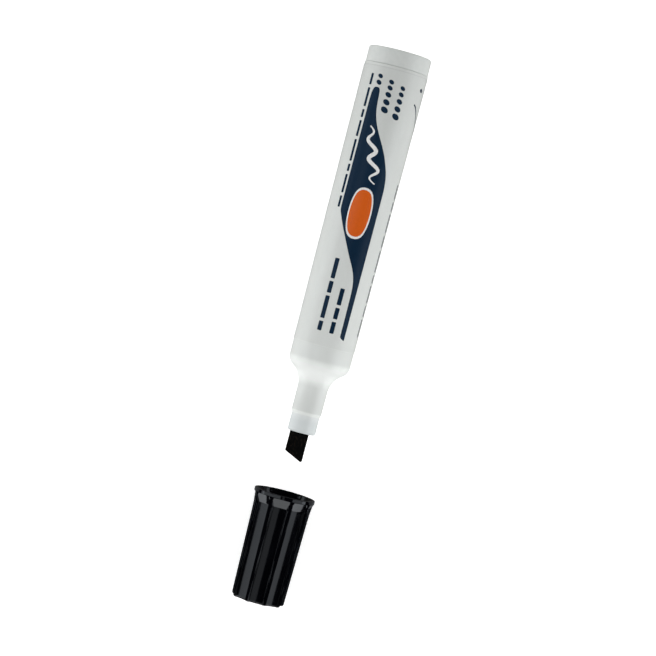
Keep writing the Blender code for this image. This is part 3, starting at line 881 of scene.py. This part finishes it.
# outlines are (turn, at) corners that get rounded; dots are (turn, at, diameter)
panel = {
    "outline": [
        (-34.0, 13.2), (-31.6, 11.6), (-28.5, 11.1), (-21.5, 11.1), (-18.9, 11.8), (-17.9, 13.6),
        (-17.3, 15.4), (-15.6, 17.5), (-12.6, 19.3), (-8.8, 20.9), (-3.0, 22.7), (4.0, 24.6),
        (12.0, 26.7), (20.0, 29.1), (27.6, 32.0), (31.4, 33.9), (33.8, 35.9), (34.7, 37.8), (34.9, 42.0),
        (34.5, 78.6), (34.3, 79.4), (33.4, 79.5), (25.4, 78.9), (24.7, 78.3), (24.6, 72.0), (24.1, 65.8),
        (22.0, 63.4), (18.4, 61.5), (12.0, 59.4), (5.2, 57.6), (-3.0, 55.2), (-11.5, 52.6),
        (-20.0, 50.1), (-28.0, 47.6), (-33.0, 46.0), (-34.8, 45.1), (-35.2, 44.0), (-35.0, 38.0),
        (-34.4, 20.0)],
    "dots": [(-24.3, 8.05, 1.2), (-24.3, 9.80, 1.3), (-2.4, 8.98, 1.2), (-2.4, 10.60, 1.25),
             (-2.4, 12.48, 1.4), (-2.4, 14.55, 1.55), (-2.4, 16.65, 1.7), (19.7, 9.88, 1.2),
             (19.7, 11.58, 1.25), (19.7, 13.52, 1.4), (19.7, 15.60, 1.55), (19.7, 17.70, 1.7)],
    "badge": [(-17.0, 42.3), (-9.0, 38.7), (12.0, 38.7), (20.0, 42.3), (20.0, 47.9), (12.0, 51.5),
              (-9.0, 51.5), (-17.0, 47.9)],
    "badgeEdge": (1.133, 1.10),
}


def makePanel(navy, orange, pale):
    wrapInk("printPanel", [smoothLoop(panel["outline"], 1)], "base", navy)
    wrapInk("printDots", [leaningDot(*dot) for dot in panel["dots"]], "base", navy)
    badge = panel["badge"]
    edgeAcross, edgeAlong = panel["badgeEdge"]
    badgeTurns = [turn for turn, at in badge]
    badgeAts = [at for turn, at in badge]
    middleTurn = (min(badgeTurns) + max(badgeTurns)) / 2
    middleAt = (min(badgeAts) + max(badgeAts)) / 2
    grown = []
    for turn, at in badge:
        across = middleTurn + (turn - middleTurn) * edgeAcross
        grown.append((across, middleAt + (at - middleAt) * edgeAlong))
    wrapInk("printBadgeEdge", [smoothLoop(grown)], "middle", pale)
    wrapInk("printBadge", [smoothLoop(badge)], "top", orange)


swash = {
    "startAt": 21.6, "endAt": 36.6, "firstTurn": -19.0, "lastTurn": 14.0, "rise": 9.0, "waves": 3,
    "width": 1.1, "endWidth": 0.25, "endShare": 0.03, "startLift": 0.6, "points": 96,
}


def makeSwash(pale):
    points = []
    widths = []
    for i in range(swash["points"]):
        share = i / (swash["points"] - 1)
        at = swash["startAt"] + (swash["endAt"] - swash["startAt"]) * share
        growing = swash["startLift"] + (1 - swash["startLift"]) * share
        lift = swash["rise"] * math.sin(2 * math.pi * swash["waves"] * share) * growing
        drift = (swash["lastTurn"] - swash["firstTurn"]) * share
        points.append((swash["firstTurn"] + drift + lift, at))
        inside = min(max(share, swash["endShare"]), 1 - swash["endShare"])
        thinning = swash["endWidth"] + (1 - swash["endWidth"]) * math.sin(math.pi * inside)
        widths.append(swash["width"] * thinning)
    wrapInk("printSwash", [ribbon(points, widths)], "middle", pale)


# rows are (turn from, turn to, starting at, bar lengths, gap), where a marker has lines of writing
bars = {
    "small": [(-43.5, -38.5, 7.7, (3.1, 5.2, 2.2, 4.4, 6.0, 2.0, 5.1, 3.1), 0.85)],
    "large": [(-20.0, -12.0, 58.2, (5.6, 3.2, 6.2, 2.6), 0.8), (3.0, 11.0, 65.8, (4.6, 3.1, 3.2), 0.8)],
    "side": [(70.5, 74.5, 35.0, (4.0, 2.6, 5.2, 3.4, 6.1, 2.2, 4.8, 3.0, 5.0), 0.8)],
    "strokeTurns": (52.5, 83.5), "strokeAts": (13.1, 21.1), "strokeBend": 1.6, "strokeWidths": (0.48, 0.28),
    "strokePoints": 24, "sideDot": (63, 8.9, 1.1),
}


def barRows(rows):
    return [loop for row in rows for loop in barRow(*row)]


def sideStroke():
    points = []
    widths = []
    turnLow, turnHigh = bars["strokeTurns"]
    atLow, atHigh = bars["strokeAts"]
    wide, narrow = bars["strokeWidths"]
    for i in range(bars["strokePoints"]):
        share = i / (bars["strokePoints"] - 1)
        points.append((turnLow + (turnHigh - turnLow) * share,
                       atLow + (atHigh - atLow) * share ** bars["strokeBend"]))
        widths.append(wide + (narrow - wide) * share)
    return ribbon(points, widths)


def makeBars(navy, grey):
    wrapInk("printSmallBars", barRows(bars["small"]), "base", navy)
    wrapInk("printLargeBars", barRows(bars["large"]), "base", navy)
    side = [sideStroke(), leaningDot(*bars["sideDot"])] + barRows(bars["side"])
    wrapInk("printSideMarks", side, "base", grey)


# studio

studio = {
    "worldStrength": 0.36,
    "floorSize": 3.0, "floorColour": (0.90, 0.90, 0.90), "floorRoughness": 0.9, "floorGlow": 0.62,
    "keyRadiance": 2.6, "keyElevation": 27, "keyDistance": 0.95, "keySize": (1.1, 0.55),
}
# Cards that only glossy surfaces see, as what the cap mirrors. Each one is: name, place, what it faces,
# (length along the marker, width), radiance, colour. The last three stand for the floor by the cap's rim.
cards = [
    ("sideRight", (0.8, 0.12, 0.115), (0, 0.12, 0.115), (0.84, 0.22), 0.95, (0.86, 0.93, 1.0)),
    ("sideLeft", (-0.8, 0.12, 0.035), (0, 0.12, 0.035), (0.84, 0.20), 0.95, (0.86, 0.93, 1.0)),
    ("runoutLeft", (-0.74, -0.58, 0.01), (-0.1, -0.58, 0.01), (0.44, 0.26), 2.3, (0.90, 0.95, 1.0)),
    ("runoutRight", (0.74, -0.58, 0.01), (0.1, -0.58, 0.01), (0.44, 0.26), 2.3, (0.90, 0.95, 1.0)),
    ("overhead", (-0.02, -0.2, 1.0), (-0.02, -0.2, 0), (1.2, 0.13), 0.45, (0.88, 0.94, 1.0)),
    ("endCard", (0, -0.80, 0.74), (0, -0.07, 0), (0.38, 0.55), 2.3, (0.93, 0.97, 1.0)),
    ("lipFloor", (0, -0.041, 0.0003), (0, -0.041, 1), (0.021, 0.018), 0.09, (1, 1, 1)),
    ("flankLeft", (-0.036, -0.041, 0.0003), (-0.036, -0.041, 1), (0.021, 0.052), 0.25, (0.90, 0.95, 1.0)),
    ("flankRight", (0.036, -0.041, 0.0003), (0.036, -0.041, 1), (0.021, 0.052), 0.25, (0.90, 0.95, 1.0)),
]
# Long cards on an arc round the marker, mirrored by the cap's flange: name, turn from, turn to, near end.
# They stop at farY, so that the ridges behind the flange don't mirror them.
arc = {
    "distance": 0.9, "farY": -0.172, "radiance": 1.0, "colour": (0.86, 0.93, 1.0),
    "cards": [
        ("rimFarLeft", -72, -54, 0.4), ("rimLeft", -38, -12, 0.4), ("rimRight", 42, 66, 0.4),
        ("flangeFarLeft", -88, -72, -0.115), ("flangeLeft", -54, -38, -0.115),
        ("flangeRight", 34, 42, -0.115), ("flangeFarRight", 66, 88, -0.115)],
}


def makeFloor():
    shape = bmesh.new()
    bmesh.ops.create_grid(shape, x_segments=8, y_segments=8, size=studio["floorSize"])
    mesh = bpy.data.meshes.new("floor")
    shape.to_mesh(mesh)
    shape.free()
    material, tree, shader = newMaterial("paleFloor")
    shader.inputs["Base Color"].default_value = (*studio["floorColour"], 1)
    shader.inputs["Roughness"].default_value = studio["floorRoughness"]
    shader.inputs["Specular IOR Level"].default_value = 0.0
    shader.inputs["Emission Color"].default_value = (1, 1, 1, 1)
    shader.inputs["Emission Strength"].default_value = studio["floorGlow"]
    mesh.materials.append(material)
    floor = bpy.data.objects.new("floor", mesh)
    floor.visible_glossy = False
    bpy.context.scene.collection.objects.link(floor)


def addCard(name, location, target, size, radiance, colour=(1, 1, 1), glossy=True, diffuse=True):
    # an area light that faces the target; radiance is the brightness of its face
    light = bpy.data.lights.new(name, "AREA")
    light.shape = "RECTANGLE"
    light.size, light.size_y = size
    light.energy = radiance * math.pi * size[0] * size[1]
    light.color = colour
    card = bpy.data.objects.new(name, light)
    back = (Vector(location) - Vector(target)).normalized()
    across = back.cross(Vector((0, 1, 0))).normalized()
    along = across.cross(back).normalized()
    card.matrix_world = Matrix.Translation(location) @ Matrix((along, -across, back)).transposed().to_4x4()
    card.visible_glossy = glossy
    card.visible_diffuse = diffuse
    card.visible_camera = False
    bpy.context.scene.collection.objects.link(card)


def makeKeys():
    distance = studio["keyDistance"]
    elevation = math.radians(studio["keyElevation"])
    for name, side in (("keyLeft", -1), ("keyRight", 1)):
        place = (side * distance * math.cos(elevation), 0, distance * math.sin(elevation))
        addCard(name, place, (axisX, 0, axisZ), studio["keySize"], studio["keyRadiance"], glossy=False)


def makeArcCards():
    for name, low, high, nearY in arc["cards"]:
        turn = math.radians((low + high) / 2)
        width = 2 * arc["distance"] * math.tan(math.radians((high - low) / 2))
        middleY = (nearY + arc["farY"]) / 2
        place = (arc["distance"] * math.sin(turn), middleY, arc["distance"] * math.cos(turn))
        addCard(name, place, (0, middleY, 0), (nearY - arc["farY"], width), arc["radiance"],
                arc["colour"], diffuse=False)


def makeLights():
    makeKeys()
    for card in cards:
        addCard(*card, diffuse=False)
    makeArcCards()


def makeWorld():
    world = bpy.data.worlds.new("studio")
    world.use_nodes = True
    background = world.node_tree.nodes["Background"]
    background.inputs["Color"].default_value = (1, 1, 1, 1)
    background.inputs["Strength"].default_value = studio["worldStrength"]
    bpy.context.scene.world = world
    world.cycles_visibility.glossy = False


# metres from the rear face, off to the side and above the axis; degrees; the lens in mm
camera = {
    "back": 0.0563, "aimBack": 0.07735, "side": -0.00014, "height": 0.619, "roll": 14.71,
    "lens": 124.6, "sensor": 36, "clipStart": 0.01,
}


def makeCamera():
    data = bpy.data.cameras.new("photoCamera")
    data.lens = camera["lens"]
    data.sensor_width = camera["sensor"]
    data.clip_start = camera["clipStart"]
    place = Vector((axisX + camera["side"], rearY - camera["back"], axisZ + camera["height"]))
    aim = Vector((axisX + camera["side"], rearY - camera["aimBack"], axisZ))
    look = (aim - place).normalized()
    tilt = Matrix.Rotation(math.atan2(look.y, -look.z), 4, "X")
    roll = Matrix.Rotation(math.radians(camera["roll"]), 4, "Z")
    obj = bpy.data.objects.new("photoCamera", data)
    obj.matrix_world = Matrix.Translation(place) @ tilt @ roll
    bpy.context.scene.collection.objects.link(obj)
    bpy.context.scene.camera = obj


def dressCadNode(name, material):
    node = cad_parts[name]
    for slot in node.material_slots:
        slot.material = material


print("barrel")
makeBarrel(whitePlasticMaterial(
    "whitePolypropylene", white["stops"], white["noseStops"], white["barrelRoughness"]))
makeFilm(whitePlasticMaterial("printedFilm", white["filmStops"], [], white["filmRoughness"]))
makePlug(plugMaterial())
print("nib and reservoir")
makeNib(feltMaterial())
dressCadNode("reservoir_core", fibreMaterial())
dressCadNode("reservoir_wrap", wrapMaterial())
print("cap")
makeCapShell(capMaterial())
makeCapLiner(linerMaterial())
print("print")
navyInk = inkMaterial("navyInk", *inkLook["navy"])
orangeInk = inkMaterial("orangeInk", *inkLook["orange"])
paleInk = inkMaterial("paleInk", *inkLook["pale"])
greyInk = inkMaterial("greyInk", *inkLook["grey"])
makePanel(navyInk, orangeInk, paleInk)
makeSwash(paleInk)
makeBars(navyInk, greyInk)
print("studio")
makeFloor()
makeLights()
makeWorld()
makeCamera()
bpy.context.scene.view_settings.view_transform = "Standard"
